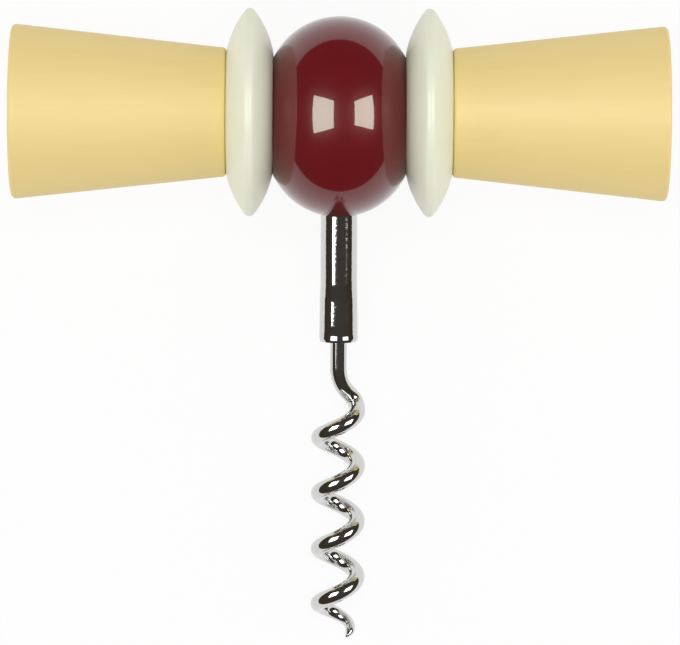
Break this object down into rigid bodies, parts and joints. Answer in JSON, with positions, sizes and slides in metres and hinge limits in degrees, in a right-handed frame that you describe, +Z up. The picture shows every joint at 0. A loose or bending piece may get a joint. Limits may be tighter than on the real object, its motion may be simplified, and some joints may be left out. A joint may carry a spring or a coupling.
{
  "type": "corkscrew",
  "caption": "Straight-pull corkscrew: turned lacquered beads form a cross handle, with a chromed shank and a right-handed wire worm ground to a point.",
  "frame": {"origin": "on the table that the tool lies on, under the middle of its bounding box", "axes": "+X along the handle, +Y from the worm's tip towards the handle, +Z up from the table; the worm's axis dips 8.98 degrees from -Y, so that the coil meets the table as the discs do"},
  "size_m": [0.1102, 0.1064, 0.035],
  "materials": {
    "yellow_lacquer": "pale yellow satin lacquer",
    "mint_lacquer": "pale mint satin lacquer",
    "burgundy_lacquer": "deep red gloss lacquer",
    "chrome_plate": "bright plate",
    "rod_steel": "zinc plated",
    "insert_brass": "turned"
  },
  "bodies": {
    "root": {"left_cone": "yellow_lacquer", "right_cone": "yellow_lacquer", "left_disc": "mint_lacquer", "right_disc": "mint_lacquer", "centre_ball": "burgundy_lacquer", "shank": "chrome_plate", "worm": "chrome_plate", "tie_rod": "rod_steel", "left_insert": "insert_brass", "right_insert": "insert_brass"}
  },
  "joints": []
}
